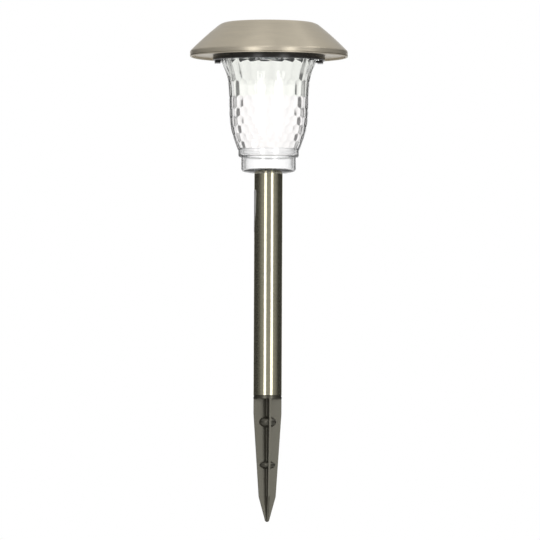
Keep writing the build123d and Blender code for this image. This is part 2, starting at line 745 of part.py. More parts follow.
def screw(place, head_face, head_up, radius, length, head_radius):
    """Pan-head screw with a cross recess. Its shank points up, or down where head_up is set."""
    head = disc(head_radius, -SCREW_HEAD_HEIGHT, 0)
    head = fillet(head.edges().group_by(Axis.Z)[0], SCREW_HEAD_HEIGHT / 3)
    shape = head + disc(radius, 0, length)
    for turn in (0, 90):
        slot = block((-DRIVE_LENGTH / 2, DRIVE_LENGTH / 2), (-DRIVE_WIDTH / 2, DRIVE_WIDTH / 2),
                     (-SCREW_HEAD_HEIGHT, DRIVE_DEPTH - SCREW_HEAD_HEIGHT))
        shape -= Rot(0, 0, turn) * slot
    if head_up:
        shape = Rot(180, 0, 0) * shape
    return Pos(place[0], place[1], head_face) * shape


def housing_screws():
    """Four screws up through the housing into the tray's posts."""
    return [screw(place, plate_bottom - SEAT_GAP, False, SCREW_RADIUS, SCREW_LENGTH, SCREW_HEAD_RADIUS)
            for place in post_places]


def board_screws():
    """Two screws down through the circuit board into its standoffs."""
    head_face = board_top + SEAT_GAP
    return [screw(place, head_face, True, BOARD_SCREW_RADIUS, BOARD_SCREW_LENGTH, BOARD_SCREW_HEAD_RADIUS)
            for place in STANDOFF_PLACES]


def circuit_board():
    """Driver board over the lamp."""
    half_x = BOARD_SIZE[0] / 2
    board_y = (BOARD_CENTRE_Y - BOARD_SIZE[1] / 2, BOARD_CENTRE_Y + BOARD_SIZE[1] / 2)
    board = block((-half_x, half_x), board_y, (board_bottom, board_top))
    for place in STANDOFF_PLACES:
        board -= post(place, BOARD_SCREW_RADIUS + SCREW_HOLE_GAP / 2, board_bottom, board_top)
    for side in (-1, 1):
        board -= post((side * LEAD_SPACING / 2, 0), LEAD_THICKNESS, board_bottom, board_top)
    return board


def driver_chip():
    """Small driver chip with two rows of legs."""
    length, width, height = CHIP_SIZE
    x, y = CHIP_PLACE
    low = board_top + SEAT_GAP
    chip_x = (x - length / 2, x + length / 2)
    chip_y = (y - width / 2, y + width / 2)
    chip = block(chip_x, chip_y, (low + CHIP_LEG / 2, low + height))
    leg_y = (y - width / 2 - CHIP_LEG_REACH, y + width / 2 + CHIP_LEG_REACH)
    for row in range(CHIP_LEG_ROWS):
        centre = x + (row - (CHIP_LEG_ROWS - 1) / 2) * CHIP_LEG_PITCH
        chip += block((centre - CHIP_LEG / 2, centre + CHIP_LEG / 2), leg_y, (low, low + CHIP_LEG))
    return chip


def boost_coil():
    """Coil of the step-up circuit, a waisted drum standing on the board."""
    low = board_top + SEAT_GAP
    high = low + COIL_HEIGHT
    drum = post(COIL_PLACE, COIL_RADIUS, low, low + COIL_CHEEK)
    drum += post(COIL_PLACE, COIL_WAIST_RADIUS, low, high)
    return drum + post(COIL_PLACE, COIL_RADIUS, high - COIL_CHEEK, high)


def board_capacitor():
    """Upright capacitor can."""
    low = board_top + SEAT_GAP
    return post(CAPACITOR_PLACE, CAPACITOR_RADIUS, low, low + CAPACITOR_HEIGHT)


def led_bulb():
    """Clear domed lamp body pointing down, with its flange."""
    low = led_base - LED_LENGTH + LED_RADIUS
    bulb = disc(LED_RADIUS, low, led_base)
    bulb += Pos(0, 0, low) * Sphere(LED_RADIUS)
    return bulb + disc(LED_FLANGE_RADIUS, led_base - LED_FLANGE, led_base)


def led_leads():
    """Two square leads from the lamp up through the board."""
    half = LEAD_THICKNESS / 2
    span = (led_base + SEAT_GAP / 2, board_top + half)
    leads = []
    for side in (-1, 1):
        x = side * LEAD_SPACING / 2
        leads.append(block((x - half, x + half), (-half, half), span))
    return leads


def switch_body():
    """Slide switch case above the housing plate, with a slot for the knob's stem."""
    length, width, height = SWITCH_BODY
    low = plate_top + SEAT_GAP
    case_y = (SWITCH_Y - width / 2, SWITCH_Y + width / 2)
    case = block((-length / 2, length / 2), case_y, (low, low + height))
    return case - switch_slot(low, low + KNOB_ENTRY + FREE_GAP)


def switch_knob():
    """Knob of the slide switch, at the off end of its slot, with a flat thumb pad."""
    centre = -SWITCH_TRAVEL / 2
    x = (centre - KNOB_LENGTH / 2, centre + KNOB_LENGTH / 2)
    y = (SWITCH_Y - KNOB_WIDTH / 2, SWITCH_Y + KNOB_WIDTH / 2)
    return block(x, y, (plate_bottom - KNOB_DROP, plate_top + KNOB_ENTRY))


def wire(points):
    """Insulated wire along straight runs joined by arcs."""
    path = FilletPolyline(*points, radius=WIRE_BEND)
    return sweep(Plane(path @ 0, z_dir=path % 0) * Circle(WIRE_RADIUS), path=path)


def panel_wire(side):
    """Wire from the panel's backing down to the circuit board."""
    top = backing_bottom - SEAT_GAP
    foot = board_top + SEAT_GAP
    drop = (top - foot) / 3
    start_x, start_y = PANEL_WIRE_TOP
    end_x, end_y = PANEL_WIRE_FOOT
    return wire([
        (side * start_x, start_y, top),
        (side * start_x, start_y, top - drop),
        (side * end_x, end_y, foot + drop),
        (side * end_x, end_y, foot),
    ])


def battery_wire(side):
    """Wire from a contact's tail over the bay's roof to the circuit board."""
    tail_face = bay_half_length - SEAT_GAP - CONTACT_THICKNESS
    start_x = tail_face - SEAT_GAP - WIRE_RADIUS
    low = bay_roof + WIRE_RADIUS + FREE_GAP
    high = bay_roof + TAIL_RISE + WIRE_RADIUS + WIRE_BEND
    end_x, end_y = BATTERY_WIRE_FOOT
    return wire([
        (side * start_x, BATTERY_Y, low),
        (side * start_x, BATTERY_Y, high),
        (side * end_x, end_y, high - WIRE_BEND / 2),
        (side * end_x, end_y, board_top + SEAT_GAP),
    ])


def main():
    """Builds every piece and writes one file for each."""
    pieces = {
        "ground_stake": ground_stake(),
        "pole_tube": pole_tube(),
        "pole_label": pole_label(),
        "lens_collar": lens_collar(),
        "lens": lens(),
        "lens_seal": lens_seal(),
        "cap_dome": cap_dome(),
        "cap_underplate": cap_underplate(),
        "housing_base": housing_base(),
        "reflector_disc": reflector_disc(),
        "led_dish": led_dish(),
        "battery_cell": battery_cell(),
        "battery_sleeve": battery_sleeve(),
        "contact_positive": contact_plate(1),
        "contact_negative": contact_plate(-1),
        "contact_spring": contact_spring(),
        "battery_door": battery_door(),
        "panel_tray": panel_tray(),
        "panel_gasket": panel_gasket(),
        "panel_backing": panel_backing(),
        "solar_cells": solar_cells(),
        "cell_ribbons": cell_ribbons(),
        "panel_cover": panel_cover(),
        "housing_screws": housing_screws(),
        "board_screws": board_screws(),
        "circuit_board": circuit_board(),
        "driver_chip": driver_chip(),
        "boost_coil": boost_coil(),
        "board_capacitor": board_capacitor(),
        "led_bulb": led_bulb(),
        "led_leads": led_leads(),
        "switch_body": switch_body(),
        "switch_knob": switch_knob(),
        "panel_wire_red": panel_wire(1),
        "panel_wire_black": panel_wire(-1),
        "battery_wire_red": battery_wire(1),
        "battery_wire_black": battery_wire(-1),
    }
    os.makedirs("parts", exist_ok=True)
    for name, piece in pieces.items():
        solids = piece if isinstance(piece, list) else [piece]
        flat = [solid for group in solids for solid in group.solids()]
        whole = flat[0] if len(flat) == 1 else Compound(children=flat)
        export_step(whole, f"parts/{name}.step")


main()
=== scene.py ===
from math import cos, pi, radians, sin, tan

import bpy
import numpy as np
from mathutils import Matrix, Vector


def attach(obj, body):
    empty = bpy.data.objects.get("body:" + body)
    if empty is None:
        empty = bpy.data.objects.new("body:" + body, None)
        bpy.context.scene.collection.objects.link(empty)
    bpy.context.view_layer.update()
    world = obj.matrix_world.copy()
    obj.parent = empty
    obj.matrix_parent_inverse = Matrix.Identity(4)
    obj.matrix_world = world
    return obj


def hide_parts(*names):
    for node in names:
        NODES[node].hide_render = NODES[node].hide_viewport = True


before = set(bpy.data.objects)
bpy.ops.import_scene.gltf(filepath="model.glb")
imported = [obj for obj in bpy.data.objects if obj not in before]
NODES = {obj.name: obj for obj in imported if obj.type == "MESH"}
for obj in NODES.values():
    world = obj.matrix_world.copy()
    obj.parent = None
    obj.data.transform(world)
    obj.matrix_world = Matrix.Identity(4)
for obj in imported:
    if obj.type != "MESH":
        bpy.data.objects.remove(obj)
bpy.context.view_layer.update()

MM = 0.001
# Camera and floor, in metres and degrees
CAMERA_AZIMUTH = -12.0
CAMERA_ELEVATION = -3.3
CAMERA_DISTANCE = 15.0
CAMERA_AIM_HEIGHT = 0.11366
CAMERA_AIM_RIGHT = 0.0017
CAMERA_ROLL = 0.24
CAMERA_RANGE = 50.0
FOCAL_LENGTH_MM = 1137.0
SENSOR_WIDTH_MM = 36.0
FLOOR_HEIGHT = -0.7
FLOOR_RADIUS = 3.0
FLOOR_SIDES = 96
FLOOR_GREY = (0.86, 0.86, 0.86)


def span(name):
    """Lowest and highest point of a CAD node, in millimetres."""
    thing = NODES[name]
    heights = [(thing.matrix_world @ Vector(corner)).z / MM for corner in thing.bound_box]
    return min(heights), max(heights)


# ---------------------------------------------------------------- node helpers
def rgba(colour):
    """Colour with its alpha, from a grey or a colour."""
    return (colour, colour, colour, 1) if isinstance(colour, (int, float)) else (*colour, 1)


class Tree:
    """Adds nodes to a node tree and joins them."""

    def __init__(self, tree):
        self.tree = tree

    def add(self, kind, **settings):
        node = self.tree.nodes.new("ShaderNode" + kind)
        for key, value in settings.items():
            setattr(node, key, value)
        return node

    def feed(self, socket, value):
        if isinstance(value, bpy.types.NodeSocket):
            self.tree.links.new(value, socket)
        elif value is not None:
            socket.default_value = value

    def place(self):
        """Position on the object, in metres."""
        return self.add("TexCoord").outputs["Object"]

    def axes(self, vector):
        """The x, y and z of a vector."""
        node = self.add("SeparateXYZ")
        self.feed(node.inputs[0], vector)
        return node.outputs

    def vector(self, x, y, z):
        node = self.add("CombineXYZ")
        for socket, value in zip(node.inputs, (x, y, z)):
            self.feed(socket, value)
        return node.outputs[0]

    def math(self, operation, a, b=None):
        node = self.add("Math", operation=operation)
        self.feed(node.inputs[0], a)
        self.feed(node.inputs[1], b)
        return node.outputs[0]

    def noise(self, vector, scale=1.0, detail=3.0, roughness=0.5):
        node = self.add("TexNoise")
        self.feed(node.inputs["Vector"], vector)
        node.inputs["Scale"].default_value = scale
        node.inputs["Detail"].default_value = detail
        node.inputs["Roughness"].default_value = roughness
        return node.outputs["Fac"]

    def ramp(self, factor, stops):
        """Colour ramp; stops are (position, grey or colour)."""
        node = self.add("ValToRGB")
        elements = node.color_ramp.elements
        while len(elements) < len(stops):
            elements.new(1.0)
        for element, (position, colour) in zip(elements, stops):
            element.position = position
            element.color = rgba(colour)
        self.feed(node.inputs[0], factor)
        return node.outputs[0]

    def mix(self, factor, a, b):
        """Mixes from a to b, each a socket, a colour or a grey."""
        node = self.add("Mix", data_type="RGBA")
        self.feed(node.inputs["Factor"], factor)
        for socket, colour in ((node.inputs[6], a), (node.inputs[7], b)):
            self.feed(socket, colour if isinstance(colour, bpy.types.NodeSocket) else rgba(colour))
        return node.outputs[2]

    def spread(self, factor, low, high):
        """Maps a 0 to 1 factor onto low to high."""
        node = self.add("MapRange")
        self.feed(node.inputs["Value"], factor)
        node.inputs["To Min"].default_value = low
        node.inputs["To Max"].default_value = high
        return node.outputs[0]

    def ease(self, value, start, end):
        """Goes smoothly from 0 to 1 as a value goes from start to end."""
        node = self.add("MapRange", interpolation_type="SMOOTHSTEP")
        self.feed(node.inputs["Value"], value)
        node.inputs["From Min"].default_value = start
        node.inputs["From Max"].default_value = end
        return node.outputs[0]

    def bump(self, height, strength, distance):
        node = self.add("Bump")
        node.inputs["Strength"].default_value = strength
        node.inputs["Distance"].default_value = distance
        self.feed(node.inputs["Height"], height)
        return node.outputs[0]


def material(name, base, roughness, metallic=0.0, **sockets):
    """Material with one Principled shader. Returns the material, its tree and its shader."""
    mat = bpy.data.materials.new(name)
    mat.use_nodes = True
    shader = mat.node_tree.nodes["Principled BSDF"]
    shader.inputs["Base Color"].default_value = rgba(base)
    shader.inputs["Roughness"].default_value = roughness
    shader.inputs["Metallic"].default_value = metallic
    for key, value in sockets.items():
        shader.inputs[key.replace("_", " ").title().replace("Ior", "IOR")].default_value = value
    return mat, Tree(mat.node_tree), shader


def shades(base, vary):
    """Ramp stops from a darker to a lighter shade of a colour."""
    dark = tuple(c * (1 - vary) for c in base)
    light = tuple(min(1.0, c * (1 + vary)) for c in base)
    return (0.3, dark), (0.7, light)


# ---------------------------------------------------------------- materials
# Surface detail: fineness per metre, depth of the bumps in metres, and variation of the colour as a share
BRUSHING = 2600.0
BRUSHING_ROUND = 1.6    # change of the brushing round the axis, which is far slower than across it
BRUSHING_DEPTH = 0.00001
BRUSHING_VARY = 0.07
PLASTIC_GRAIN = 900.0
PLASTIC_PATCHES = 60.0
PLASTIC_DEPTH = 0.00002
PLASTIC_VARY = 0.15
CLEAR_FLOW = 140.0
CLEAR_DEPTH = 0.00005
METAL_MARKS = 1500.0
METAL_DEPTH = 0.00001
CRYSTALS = 420.0
FINGERS = 480.0
FINGER_SHARE = 0.07     # width of a finger as a share of the step from one to the next
WEAVE = 9000.0          # radians per metre


def brushing_place(tree):
    """Coordinates that run round the axis slowly and across it quickly, for spun or drawn metal."""
    x, y, z = tree.axes(tree.place())
    squares = tree.math("ADD", tree.math("MULTIPLY", x, x), tree.math("MULTIPLY", y, y))
    radius = tree.math("SQRT", squares)
    round_x = tree.math("MULTIPLY", tree.math("DIVIDE", x, radius), BRUSHING_ROUND)
    round_y = tree.math("MULTIPLY", tree.math("DIVIDE", y, radius), BRUSHING_ROUND)
    out = tree.math("MULTIPLY", radius, BRUSHING)
    up = tree.math("MULTIPLY", z, BRUSHING)
    return tree.vector(round_x, round_y, tree.math("ADD", out, up))


def steel(name, base, roughness, anisotropic):
    """Stainless steel with fine brushing round the axis."""
    mat, tree, shader = material(name, base, roughness, 1.0, anisotropic=anisotropic,
                                 anisotropic_rotation=0.25)
    tangent = tree.add("Tangent", direction_type="RADIAL", axis="Z")
    tree.feed(shader.inputs["Tangent"], tangent.outputs[0])
    lines = tree.noise(brushing_place(tree), detail=4.0, roughness=0.7)
    tree.feed(shader.inputs["Roughness"], tree.spread(lines, roughness * 0.7, roughness * 1.3))
    tree.feed(shader.inputs["Base Color"], tree.ramp(lines, shades(base, BRUSHING_VARY)))
    tree.feed(shader.inputs["Normal"], tree.bump(lines, strength=0.25, distance=BRUSHING_DEPTH))
    return mat


def plastic(name, base, roughness, **sockets):
    """Moulded plastic with a fine grain and slight unevenness of colour and gloss."""
    mat, tree, shader = material(name, base, roughness, **sockets)
    spot = tree.place()
    fine = tree.noise(spot, PLASTIC_GRAIN, detail=4.0)
    broad = tree.noise(spot, PLASTIC_PATCHES, detail=3.0)
    tree.feed(shader.inputs["Roughness"], tree.spread(broad, roughness * 0.85, roughness * 1.15))
    tree.feed(shader.inputs["Base Color"], tree.ramp(broad, shades(base, PLASTIC_VARY)))
    tree.feed(shader.inputs["Normal"], tree.bump(fine, strength=0.3, distance=PLASTIC_DEPTH))
    return mat


def clear(name, tint, roughness, ior=1.49):
    """Clear moulded plastic with faint flow unevenness. Returns the material, its tree and its shader."""
    mat, tree, shader = material(name, tint, roughness, transmission_weight=1.0, ior=ior)
    flow = tree.noise(tree.place(), CLEAR_FLOW, detail=2.0)
    tree.feed(shader.inputs["Normal"], tree.bump(flow, strength=0.08, distance=CLEAR_DEPTH))
    return mat, tree, shader


def lens_plastic(name):
    """Clear plastic with a faint tint, greyer in steps towards the rim, where the grey is a painted
    reflection of the steel reflector inside, and frosted on the foot.
    """
    mat, tree, shader = clear(name, (1.0, 1.0, 1.0), 0.0)
    level = tree.math("DIVIDE", tree.axes(tree.place())[2], MM)
    height = tree.math("SUBTRACT", level, LENS_FOOT)
    # Tint by height; the greyer steps near the rim are a painted reflection of the steel reflector inside
    tint_and_reflection = [(stop / LENS_RISE, colour) for stop, colour in LENS_TINT_AND_PAINTED_REFLECTION]
    tree.feed(shader.inputs["Base Color"], tree.ramp(tree.math("DIVIDE", height, LENS_RISE), tint_and_reflection))
    frost = tree.math("MULTIPLY", tree.math("LESS_THAN", height, FOOT_FROST_TOP), FOOT_FROST)
    tree.feed(shader.inputs["Roughness"], frost)
    return mat


def metal(name, base, roughness):
    """Small plain metal part."""
    mat, tree, shader = material(name, base, roughness, 1.0)
    marks = tree.noise(tree.place(), METAL_MARKS, detail=4.0)
    tree.feed(shader.inputs["Roughness"], tree.spread(marks, roughness * 0.7, roughness * 1.3))
    tree.feed(shader.inputs["Normal"], tree.bump(marks, strength=0.15, distance=METAL_DEPTH))
    return mat


def solar_cell(name):
    """Blue silicon with crystal grains and fine silver fingers."""
    mat, tree, shader = material(name, (0.01, 0.018, 0.06), 0.25, coat_weight=0.5, coat_roughness=0.05)
    spot = tree.place()
    grains = tree.add("TexVoronoi")
    grains.inputs["Scale"].default_value = CRYSTALS
    tree.feed(grains.inputs["Vector"], spot)
    shade = tree.add("SeparateColor")
    tree.feed(shade.inputs[0], grains.outputs["Color"])
    blue = tree.ramp(shade.outputs[0], ((0.0, (0.006, 0.012, 0.04)), (1.0, (0.016, 0.03, 0.095))))
    step = tree.math("FRACT", tree.math("MULTIPLY", tree.axes(spot)[0], FINGERS))
    finger = tree.math("LESS_THAN", step, FINGER_SHARE)
    tree.feed(shader.inputs["Base Color"], tree.mix(finger, blue, (0.45, 0.46, 0.48)))
    return mat


def laminate(name):
    """Green circuit board with its weave showing faintly."""
    mat, tree, shader = material(name, (0.02, 0.16, 0.06), 0.3)
    x, y, _ = tree.axes(tree.place())
    wave_x, wave_y = (tree.math("SINE", tree.math("MULTIPLY", axis, WEAVE)) for axis in (x, y))
    weave = tree.spread(tree.math("MULTIPLY", wave_x, wave_y), 0.35, 0.65)
    green = tree.ramp(weave, ((0.0, (0.015, 0.12, 0.045)), (1.0, (0.03, 0.2, 0.08))))
    tree.feed(shader.inputs["Base Color"], green)
    return mat


POLE_STEEL = (0.60, 0.567, 0.42)
CAP_STEEL = (0.61, 0.55, 0.44)
BLACK = (0.018, 0.017, 0.016)
COLLAR_FROST = 0.12
LOOKS = {
    "ground_stake": plastic("stake_plastic", (0.018, 0.0165, 0.012), 0.3, specular_ior_level=1.0,
                            specular_tint=(1.0, 0.96, 0.8, 1.0)),
    "pole_tube": steel("pole_steel", POLE_STEEL, 0.2, 0.6),
    "pole_label": plastic("label_paper", (0.34, 0.34, 0.33), 0.35),
    "lens_collar": clear("clear_collar", (1.0, 1.0, 1.0), COLLAR_FROST)[0],
    "lens_seal": plastic("seal_rubber", (0.03, 0.03, 0.03), 0.6),
    "cap_dome": steel("cap_steel", CAP_STEEL, 0.45, 0.8),
    "housing_base": plastic("housing_plastic", BLACK, 0.22),
    "reflector_disc": metal("reflector_silver", (0.30, 0.33, 0.36), 0.3),
    "led_dish": metal("dish_chrome", (0.78, 0.79, 0.8), 0.08),
    "battery_cell": metal("battery_steel", (0.6, 0.6, 0.6), 0.25),
    "battery_sleeve": plastic("battery_film", (0.03, 0.22, 0.09), 0.25),
    "contact_positive": metal("contact_steel", (0.62, 0.6, 0.55), 0.28),
    "battery_door": plastic("door_plastic", BLACK, 0.35),
    "panel_tray": plastic("tray_plastic", BLACK, 0.4),
    "panel_gasket": plastic("gasket_foam", (0.04, 0.04, 0.042), 0.85),
    "panel_backing": plastic("panel_board", (0.55, 0.56, 0.56), 0.5),
    "solar_cells": solar_cell("silicon"),
    "cell_ribbons": metal("ribbon_tin", (0.72, 0.72, 0.7), 0.3),
    "panel_cover": clear("panel_clear", (0.96, 0.97, 1.0), 0.06, 1.5)[0],
    "housing_screws": metal("screw_steel", (0.55, 0.55, 0.54), 0.3),
    "circuit_board": laminate("circuit_laminate"),
    "driver_chip": plastic("chip_black", (0.02, 0.02, 0.022), 0.5),
    "boost_coil": plastic("coil_black", (0.03, 0.028, 0.026), 0.6),
    "board_capacitor": metal("capacitor_can", (0.65, 0.66, 0.68), 0.25),
    "led_bulb": clear("led_epoxy", (1.0, 0.99, 0.94), 0.03, 1.54)[0],
    "led_leads": metal("led_metal", (0.7, 0.7, 0.68), 0.3),
    "switch_body": plastic("switch_plastic", (0.025, 0.025, 0.026), 0.4),
    "switch_knob": plastic("knob_plastic", (0.03, 0.03, 0.03), 0.45),
    "panel_wire_red": plastic("wire_red", (0.45, 0.02, 0.015), 0.4),
    "panel_wire_black": plastic("wire_black", (0.02, 0.02, 0.02), 0.4),
}
# Nodes that look like another node
SAME = {
    "cap_underplate": "cap_dome",
    "contact_negative": "contact_positive",
    "contact_spring": "contact_positive",
    "board_screws": "housing_screws",
    "battery_wire_red": "panel_wire_red",
    "battery_wire_black": "panel_wire_black",
}


# ---------------------------------------------------------------- mesh helpers
SHARP_ANGLE = 32.0


def ring(radius, theta, height):
    """Points [column, xyz] round the axis at one height."""
    return np.stack([radius * np.cos(theta), radius * np.sin(theta), height * np.ones(len(theta))], 1)


def bands(index):
    """Faces from each row of point numbers to the next, all the way round."""
    faces = []
    for a, b in zip(index, index[1:]):
        faces.extend(zip(a, np.roll(a, -1), np.roll(b, -1), b))
    return faces


def new_mesh(name, points, faces):
    """Object with a mesh of points, in metres, and faces, each a row of point numbers."""
    mesh = bpy.data.meshes.new(name)
    mesh.from_pydata(np.reshape(points, (-1, 3)).tolist(), [], [tuple(int(v) for v in f) for f in faces])
    mesh.validate()
    thing = bpy.data.objects.new(name, mesh)
    bpy.context.scene.collection.objects.link(thing)
    return thing


def smooth(thing):
    """Smooth shading, with hard edges where faces meet at more than the sharp angle."""
    thing.data.shade_smooth()
    thing.data.set_sharp_from_angle(angle=radians(SHARP_ANGLE))


def dress(thing, mat):
    thing.data.materials.clear()
    thing.data.materials.append(mat)


# ---------------------------------------------------------------- lens
# Heights of the lens are above its foot, radii are from the axis, both in millimetres; angles in degrees
LENS_PROFILE = (
    (0.0, 27.2), (10.2, 31.0), (20.9, 33.7), (39.0, 34.9), (57.4, 35.8), (67.9, 37.9), (79.8, 42.6),
    (82.2, 43.2),
)
LENS_RISE = LENS_PROFILE[-1][0]
LENS_FOOT = span("lens")[1] - LENS_RISE
# Wall thickness by height: thick in the bell, thinner at the rim
LENS_WALL = ((0.0, 3.0), (65.5, 3.0), (76.5, 2.0), (82.2, 2.0))
# Tint of the plastic by height: faint all over, and greyer in steps towards the rim, where the grey is a
# painted reflection of the steel reflector inside
LENS_TINT_AND_PAINTED_REFLECTION = (
    (0.0, (1.0, 1.0, 1.0)), (0.6, (0.975, 0.965, 0.96)), (46.0, (0.975, 0.965, 0.96)),
    (47.0, (0.96, 0.965, 0.94)), (58.6, (0.96, 0.965, 0.94)), (59.7, (0.92, 0.926, 0.9)),
    (82.2, (0.92, 0.926, 0.9)),
)
FOOT_RADIUS = 25.1
FOOT_WALL = 1.3
FOOT_DEPTH = 4.3
FOOT_FROST = 0.1
FOOT_FROST_TOP = 0.3
TAB_RADIUS = 46.3
TAB_HEIGHTS = (78.0, 79.2)
TAB_ANGLES = (-36.0, 144.0)
TAB_HALF_ARC = 6.0
CELLS_ROUND = 25
CELL_ANGLE = 261.6
# Rows of cells from the rim down: lowest and highest centre, and the turn of the first in cell widths
CELL_ROWS = (
    (63.5, 75.1, 0.5),
    (49.8, 56.2, 0.0),
    (39.6, 42.4, 0.5),
    (31.8, 31.8, 0.0),
    (24.1, 24.1, 0.5),
    (16.8, 16.8, 0.0),
    (9.5, 9.5, 0.5),
    (3.4, 3.4, 0.0),
)
CELL_DEPTH = 0.85           # limit of the depth between cells
CELL_BEND = 32.0            # radius of a cell's bulge
CELL_FADE = (79.5, 81.5)    # heights between which the cells fade into the plain rim
CELL_GROWTH = 1.2           # height over which they grow from the foot
# Fineness of the mesh: columns in a cell, then rings (from, to, count) up to the tabs, above and inside
CELL_COLUMNS = 14
BELL_RINGS = ((0.0, 62.5, 120), (62.5, TAB_HEIGHTS[0], 30))
RIM_RINGS = 4
INNER_RINGS = 70
TAB_MARGIN = 1e-3   # least distance of the other columns from a tab's sides, in radians
TAB_NUDGE = 1e-6    # puts the doubled columns at a tab's sides in order


def smooth_curve(points, at):
    """Natural cubic spline through (x, y) points, read at the given x values."""
    x, y = np.array(points, float).T
    h = np.diff(x)
    n = len(x)
    a = np.eye(n)
    b = np.zeros(n)
    for i in range(1, n - 1):
        a[i, i - 1:i + 2] = h[i - 1], 2 * (h[i - 1] + h[i]), h[i]
        b[i] = 6 * ((y[i + 1] - y[i]) / h[i] - (y[i] - y[i - 1]) / h[i - 1])
    m = np.linalg.solve(a, b)
    at = np.asarray(at, float)
    k = np.clip(np.searchsorted(x, at) - 1, 0, n - 2)
    left = at - x[k]
    right = x[k + 1] - at
    cubic = (m[k] * right ** 3 + m[k + 1] * left ** 3) / (6 * h[k])
    return cubic + (y[k] / h[k] - m[k] * h[k] / 6) * right + (y[k + 1] / h[k] - m[k + 1] * h[k] / 6) * left


def sunk(theta, height, radius):
    """How far the bulging cells let the lens surface sink below its outer radius at an angle and height."""
    pitch = 2 * pi / CELLS_ROUND
    depth = np.full(theta.shape, CELL_DEPTH)
    for low, high, turn in CELL_ROWS:
        off = ((theta - radians(CELL_ANGLE)) / pitch - turn + 0.5) % 1.0 - 0.5
        across = off * pitch * radius
        up = max(0, low - height, height - high)
        depth = np.minimum(depth, (across ** 2 + up ** 2) / (2 * CELL_BEND))
    start, end = CELL_FADE
    fade = np.clip((end - height) / (end - start), 0, 1)
    return depth * fade * fade * (3 - 2 * fade) * np.clip(height / CELL_GROWTH, 0, 1)


def tab_columns():
    """Angles round the lens, doubled at the sides of its two tabs, and which of them lie on a tab."""
    theta = np.linspace(0, 2 * pi, CELLS_ROUND * CELL_COLUMNS, endpoint=False)
    on_tab = np.zeros(len(theta), bool)
    for centre in TAB_ANGLES:
        low, high = (radians(centre + side * TAB_HALF_ARC) % (2 * pi) for side in (-1, 1))
        inside = (theta > low + TAB_MARGIN) & (theta < high - TAB_MARGIN)
        outside = (theta < low - TAB_MARGIN) | (theta > high + TAB_MARGIN)
        theta, on_tab = (
            np.concatenate([theta[outside], theta[inside], [low, low, high, high]]),
            np.concatenate([on_tab[outside], np.ones(inside.sum(), bool), [False, True, True, False]]),
        )
        nudge = np.zeros(len(theta))
        nudge[-4:] = -TAB_NUDGE, TAB_NUDGE, -TAB_NUDGE, TAB_NUDGE
        order = np.argsort(theta + nudge, kind="stable")
        theta, on_tab = theta[order], on_tab[order]
    return theta, on_tab


def lens_shell():
    """Clear bell with rows of bulging cells, a foot and two bayonet tabs, as one closed wall."""
    theta, on_tab = tab_columns()
    low, high = TAB_HEIGHTS
    heights = []
    for start, end, count in BELL_RINGS:
        heights += [(h, False) for h in np.linspace(start, end, count, endpoint=False)]
    heights += [(low, False), (low, True), (high, True), (high, False)]
    heights += [(h, False) for h in np.linspace(high, LENS_RISE, RIM_RINGS + 1)[1:]]
    rows = []
    for height, tab_row in heights:
        radius = float(smooth_curve(LENS_PROFILE, [height])[0])
        r = radius - sunk(theta, height, radius)
        rows.append((np.where(on_tab, TAB_RADIUS, r) if tab_row else r, height))
    inner = np.linspace(LENS_RISE, 0, INNER_RINGS)
    inner_r = smooth_curve(LENS_PROFILE, inner) - np.interp(inner, *np.array(LENS_WALL).T)
    rows += list(zip(inner_r, inner))
    bore = FOOT_RADIUS - FOOT_WALL
    rows += [(bore, 0), (bore, -FOOT_DEPTH), (FOOT_RADIUS, -FOOT_DEPTH), (FOOT_RADIUS, 0)]
    points = np.array([ring(r, theta, LENS_FOOT + height) for r, height in rows]) * MM
    index = np.arange(len(rows) * len(theta)).reshape(len(rows), len(theta))
    shell = new_mesh("lens_shell", points, bands([*index, index[0]]))
    smooth(shell)
    return shell


# ---------------------------------------------------------------- collar
# Section of the clear collar, from the axis out along its underside and back along its top: radius,
# height above its lowest point and rounding, in millimetres
COLLAR_SECTION = (
    (0.0, 22.0, 0.0),
    (10.25, 22.0, 0.0),
    (10.25, 0.0, 0.0),
    (11.85, 0.0, 0.0),
    (11.85, 22.0, 0.0),
    (13.5, 22.0, 0.0),
    (24.1, 24.2, 3.2),
    (24.1, 36.4, 0.0),
    (26.7, 36.4, 2.0),
    (26.7, 43.1, 0.3),
    (25.2, 43.1, 0.0),
    (25.2, 38.75, 0.0),
    (21.9, 38.75, 0.0),
    (21.9, 25.6, 1.0),
    (0.0, 25.6, 0.0),
)
COLLAR_COLUMNS = 192
ARC_POINTS = 7


def rounded(section):
    """Outline through (radius, height, rounding) corners, with an arc at each rounded one."""
    points = []
    for i, (radius, height, rounding) in enumerate(section):
        here = Vector((radius, height))
        if not rounding:
            points.append(here)
            continue
        before = (Vector(section[i - 1][:2]) - here).normalized()
        after = (Vector(section[i + 1][:2]) - here).normalized()
        half = before.angle(after) / 2
        centre = here + (before + after).normalized() * rounding / sin(half)
        start = here + before * rounding / tan(half) - centre
        end = here + after * rounding / tan(half) - centre
        for t in np.linspace(0, 1, ARC_POINTS):
            points.append(centre + start.lerp(end, t).normalized() * rounding)
    return points


def collar():
    """Stepped clear cup on a hollow spigot, spun from its section."""
    foot = span("lens_collar")[0]
    theta = np.linspace(0, 2 * pi, COLLAR_COLUMNS, endpoint=False)
    first, *outline, last = rounded(COLLAR_SECTION)
    rows = [ring(r, theta, foot + z) for r, z in outline]
    points = np.concatenate([*rows, [[0, 0, foot + first.y], [0, 0, foot + last.y]]]) * MM
    index = np.arange(len(rows) * len(theta)).reshape(len(rows), len(theta))
    low, high = index.size, index.size + 1
    faces = [(low, b, a) for a, b in zip(index[0], np.roll(index[0], -1))]
    faces += [(a, b, high) for a, b in zip(index[-1], np.roll(index[-1], -1))]
    thing = new_mesh("collar", points, faces + bands(index))
    smooth(thing)
    return thing


# ---------------------------------------------------------------- label
# Radii in millimetres, angles in degrees
LABEL_RADII = (12.52, 12.62)
LABEL_BACK_ANGLE = 100.0
